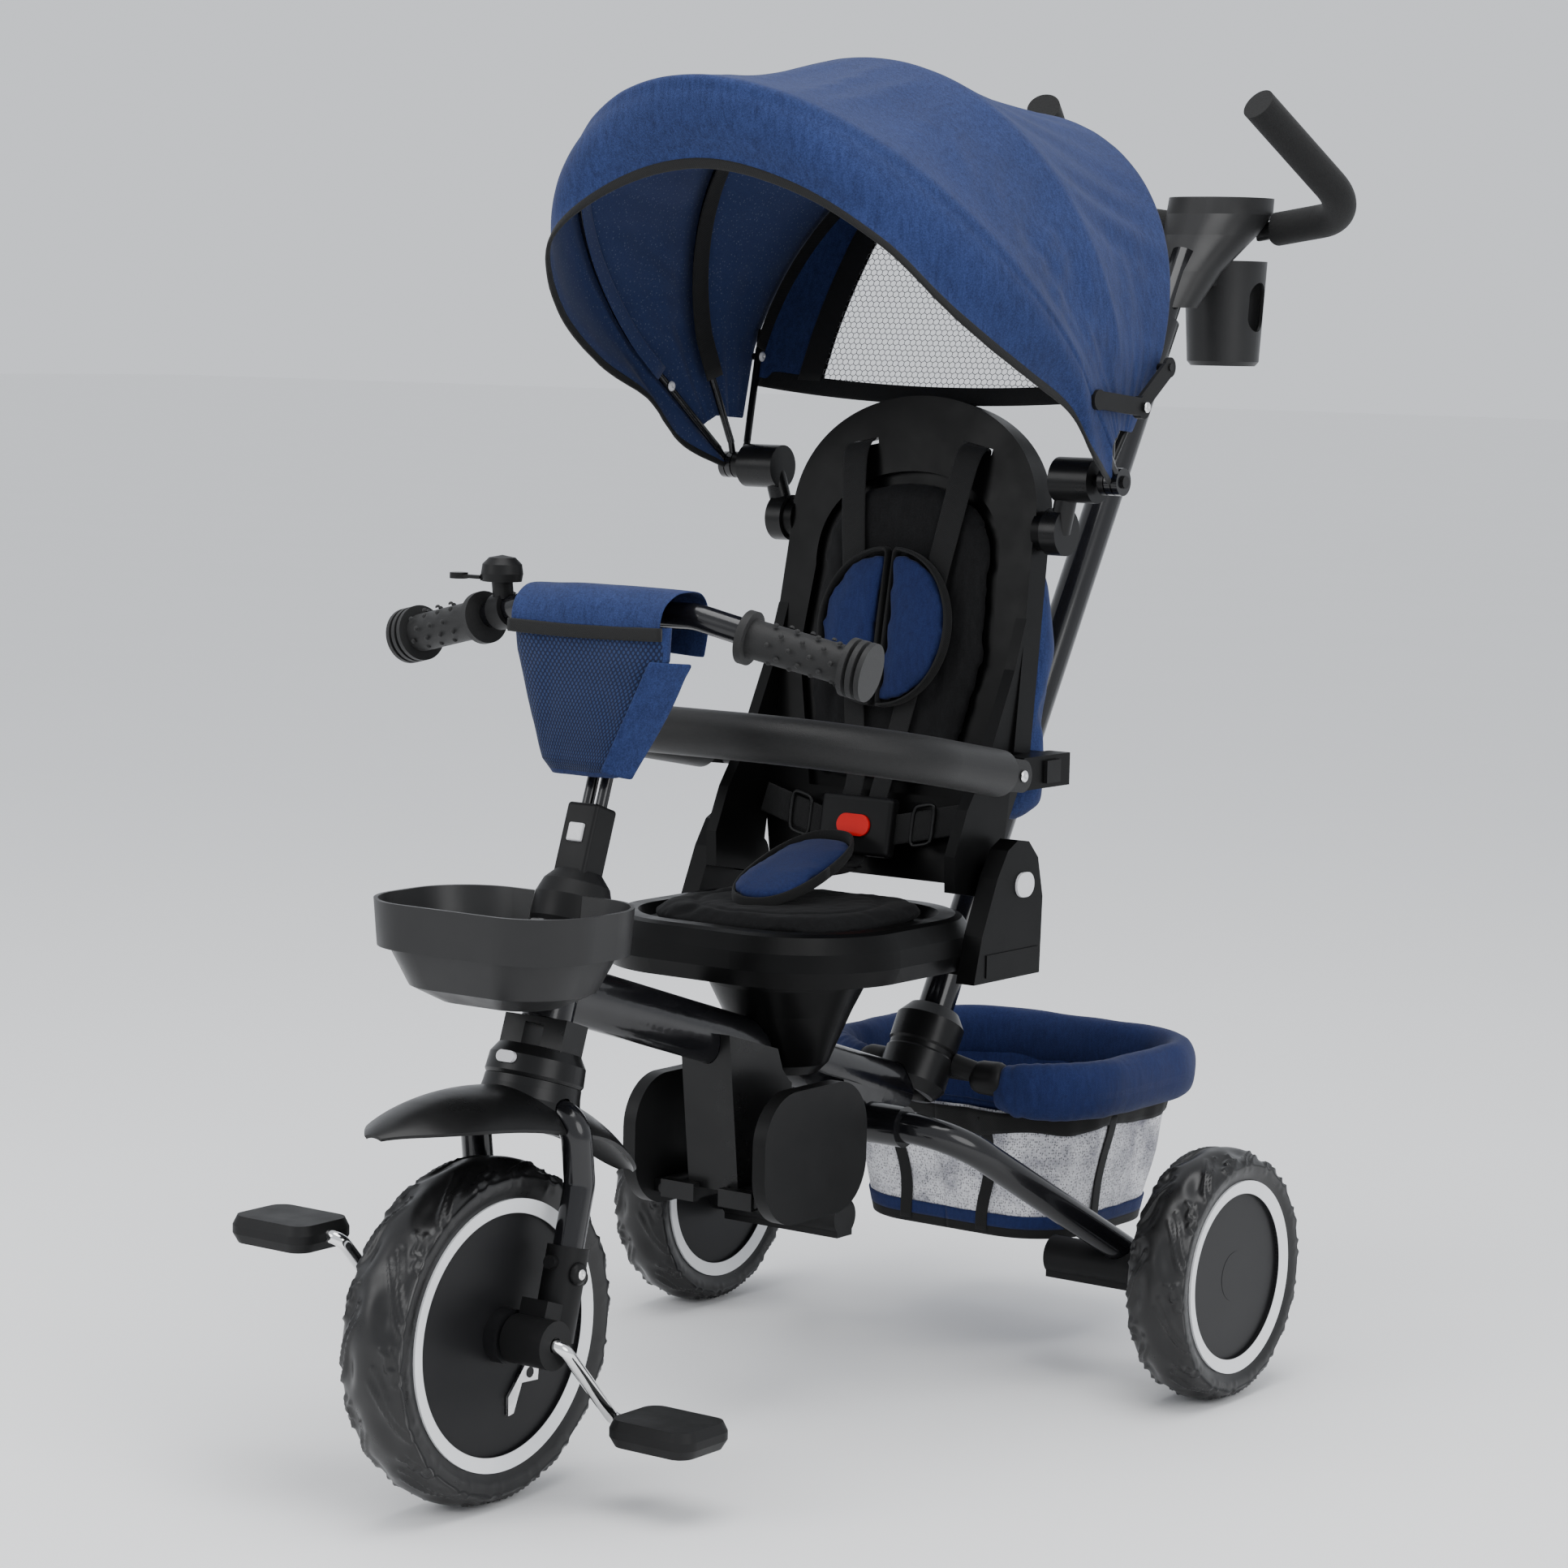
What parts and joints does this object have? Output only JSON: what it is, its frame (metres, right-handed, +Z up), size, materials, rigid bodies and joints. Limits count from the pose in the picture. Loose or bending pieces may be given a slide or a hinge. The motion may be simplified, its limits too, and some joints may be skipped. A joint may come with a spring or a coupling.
{
  "type": "children's tricycle",
  "caption": "Child's push tricycle with steered pedal wheel, reclining belted seat, guardrail, folding canopy, sliding push handle, tray, bag and storage basket.",
  "frame": {"origin": "the middle of the tricycle's footprint, on the ground", "axes": "+Z up, the tricycle drives towards -Y, its own left side is +X"},
  "size_m": [0.57, 1.1884, 1.0669],
  "materials": {
    "tyre": "satin",
    "wheel": "matte",
    "plastic": "matte",
    "tube": "gloss",
    "chrome": "polished",
    "steel": "satin",
    "grey_button": "gloss",
    "red_button": "gloss",
    "navy": "woven",
    "webbing": "woven",
    "mesh": "open mesh with a navy cuff",
    "foam": "foam",
    "grip": "matte",
    "gloss_plastic": "gloss"
  },
  "bodies": {
    "frame": {"main_frame": "tube", "footrest_bracket": "plastic", "handle_socket": "plastic", "handle_sleeve": "tube", "seat_pedestal": "plastic", "seat_base": "plastic", "seat_pad": "plastic", "crotch_pad": "navy", "basket_carrier": "plastic", "storage_basket": "mesh"},
    "fork": {"fork_legs": "tube", "fork_cowl": "plastic", "steering_column": "plastic", "front_fender": "plastic", "fork_sockets": "plastic", "front_tray": "plastic", "height_clamp": "plastic"},
    "clutch_button": {"clutch_button": "grey_button"},
    "height_button": {"height_button": "grey_button"},
    "handlebar": {"handlebar": "tube", "handlebar_grips": "grip", "bell_body": "plastic", "handlebar_bag": "navy"},
    "bell_lever": {"bell_lever": "plastic"},
    "front_wheel": {"front_tyre": "tyre", "front_rim": "wheel"},
    "crankset": {"crank_axle": "chrome"},
    "freewheel_lever": {"freewheel_lever": "steel"},
    "pedal_left": {"pedal_left": "plastic"},
    "pedal_right": {"pedal_right": "plastic"},
    "rear_frame": {"rear_legs": "tube", "rear_axles": "plastic"},
    "rear_wheel_left": {"rear_tyre_left": "tyre", "rear_rim_left": "wheel"},
    "rear_wheel_right": {"rear_tyre_right": "tyre", "rear_rim_right": "wheel"},
    "footrest_left": {"footrest_left": "plastic"},
    "footrest_right": {"footrest_right": "plastic"},
    "seat_back": {"back_shell": "plastic", "back_pad": "plastic", "harness_straps": "webbing", "shoulder_pads": "navy", "harness_buckle": "plastic", "back_bag": "navy", "canopy_rear_bow": "tube", "canopy_fabric": "navy"},
    "buckle_button": {"buckle_button": "red_button"},
    "guardrail": {"guardrail_bar": "foam"},
    "guardrail_button_left": {"guardrail_button_left": "plastic"},
    "guardrail_button_right": {"guardrail_button_right": "plastic"},
    "recline_button_left": {"recline_button_left": "grey_button"},
    "recline_button_right": {"recline_button_right": "grey_button"},
    "canopy_mid": {"canopy_mid_bow": "tube"},
    "canopy_front": {"canopy_front_bow": "tube"},
    "stay_rear": {"stay_rear_links": "plastic"},
    "stay_front": {"stay_front_links": "plastic"},
    "push_handle": {"handle_tube": "tube", "handle_housing": "plastic", "handle_grips": "foam", "cup_holder": "plastic"}
  },
  "joints": [
    {"name": "steering", "type": "hinge", "parent": "frame", "child": "fork", "pos_m": [0, -0.38311, 0.37831], "axis": [0, 0.3173, 0.9483], "range_deg": [-38, 38]},
    {"name": "wheel_spin", "type": "hinge", "parent": "fork", "child": "front_wheel", "pos_m": [0, -0.4672, 0.127], "axis": [1, 0, 0], "continuous": true},
    {"name": "crank_spin", "type": "hinge", "parent": "fork", "child": "crankset", "pos_m": [0, -0.4672, 0.127], "axis": [1, 0, 0], "continuous": true},
    {"name": "pedal_left_spin", "type": "hinge", "parent": "crankset", "child": "pedal_left", "pos_m": [0.13, -0.40832, 0.0616], "axis": [1, 0, 0], "continuous": true},
    {"name": "pedal_right_spin", "type": "hinge", "parent": "crankset", "child": "pedal_right", "pos_m": [-0.13, -0.52608, 0.1924], "axis": [1, 0, 0], "continuous": true},
    {"name": "freewheel_lever_turn", "type": "hinge", "parent": "front_wheel", "child": "freewheel_lever", "pos_m": [0.022, -0.4372, 0.094], "axis": [1, 0, 0], "range_deg": [0, 35]},
    {"name": "clutch_button_press", "type": "slide", "parent": "fork", "child": "clutch_button", "axis": [0, 0.9483, -0.3173], "range_m": [0, 0.003], "stiffness_N_per_m": 400},
    {"name": "height_button_press", "type": "slide", "parent": "fork", "child": "height_button", "axis": [0, 0.9483, -0.3173], "range_m": [0, 0.003], "stiffness_N_per_m": 400},
    {"name": "handlebar_height", "type": "slide", "parent": "fork", "child": "handlebar", "axis": [0, 0.3173, 0.9483], "range_m": [0, 0.03]},
    {"name": "bell_lever_push", "type": "hinge", "parent": "handlebar", "child": "bell_lever", "pos_m": [-0.1169, -0.3359, 0.6618], "axis": [0, 0, 1], "range_deg": [0, 30], "stiffness_Nm_per_rad": 0.05},
    {"name": "footrest_left_fold", "type": "hinge", "parent": "frame", "child": "footrest_left", "pos_m": [0.044, -0.1472, 0.182], "axis": [0, 1, 0], "range_deg": [0, 90]},
    {"name": "footrest_right_fold", "type": "hinge", "parent": "frame", "child": "footrest_right", "pos_m": [-0.044, -0.1472, 0.182], "axis": [0, -1, 0], "range_deg": [0, 90]},
    {"name": "rear_fold", "type": "hinge", "parent": "frame", "child": "rear_frame", "pos_m": [0, -0.0272, 0.221], "axis": [-1, 0, 0], "range_deg": [0, 75]},
    {"name": "rear_wheel_left_spin", "type": "hinge", "parent": "rear_frame", "child": "rear_wheel_left", "pos_m": [0.259, 0.1428, 0.102], "axis": [1, 0, 0], "continuous": true},
    {"name": "rear_wheel_right_spin", "type": "hinge", "parent": "rear_frame", "child": "rear_wheel_right", "pos_m": [-0.259, 0.1428, 0.102], "axis": [1, 0, 0], "continuous": true},
    {"name": "backrest_recline", "type": "hinge", "parent": "frame", "child": "seat_back", "pos_m": [0, 0.0148, 0.42], "axis": [-1, 0, 0], "range_deg": [0, 12]},
    {"name": "recline_button_left_press", "type": "slide", "parent": "frame", "child": "recline_button_left", "axis": [-1, 0, 0], "range_m": [0, 0.003], "stiffness_N_per_m": 400},
    {"name": "recline_button_right_press", "type": "slide", "parent": "frame", "child": "recline_button_right", "axis": [1, 0, 0], "range_m": [0, 0.003], "stiffness_N_per_m": 400},
    {"name": "buckle_button_press", "type": "slide", "parent": "seat_back", "child": "buckle_button", "axis": [0, 0.9857, -0.1685], "range_m": [0, 0.003], "stiffness_N_per_m": 400},
    {"name": "guardrail_button_left_press", "type": "slide", "parent": "seat_back", "child": "guardrail_button_left", "axis": [-1, 0, 0], "range_m": [0, 0.003], "stiffness_N_per_m": 400},
    {"name": "guardrail_button_right_press", "type": "slide", "parent": "seat_back", "child": "guardrail_button_right", "axis": [1, 0, 0], "range_m": [0, 0.003], "stiffness_N_per_m": 400},
    {"name": "guardrail_swing", "type": "hinge", "parent": "seat_back", "child": "guardrail", "pos_m": [0, 0.0048, 0.507], "axis": [-1, 0, 0], "range_deg": [0, 55]},
    {"name": "canopy_front_fold", "type": "hinge", "parent": "seat_back", "child": "canopy_front", "pos_m": [0, 0.0708, 0.738], "axis": [-1, 0, 0], "range_deg": [0, 57], "deforming": ["canopy_fabric"]},
    {"name": "canopy_mid_fold", "type": "hinge", "parent": "seat_back", "child": "canopy_mid", "pos_m": [0, 0.0708, 0.738], "axis": [-1, 0, 0], "range_deg": [0, 33.31]},
    {"name": "stay_rear_turn", "type": "hinge", "parent": "seat_back", "child": "stay_rear", "pos_m": [0, 0.11154, 0.82823], "axis": [-1, 0, 0], "range_deg": [-68.28, 0]},
    {"name": "stay_front_turn", "type": "hinge", "parent": "stay_rear", "child": "stay_front", "pos_m": [0, 0.0678, 0.797], "axis": [-1, 0, 0], "range_deg": [0, 119.56]},
    {"name": "push_handle_slide", "type": "slide", "parent": "frame", "child": "push_handle", "axis": [0, 0.5015, 0.8652], "range_m": [0, 0.1]}
  ],
  "couplings": [
    {"joint": "crank_spin", "follows": "wheel_spin", "ratio": 1},
    {"joint": "canopy_mid_fold", "follows": "canopy_front_fold", "ratio": 0.5842},
    {"joint": "stay_rear_turn", "follows": "canopy_front_fold", "ratio": -1.1978},
    {"joint": "stay_front_turn", "follows": "canopy_front_fold", "ratio": 2.0974}
  ]
}
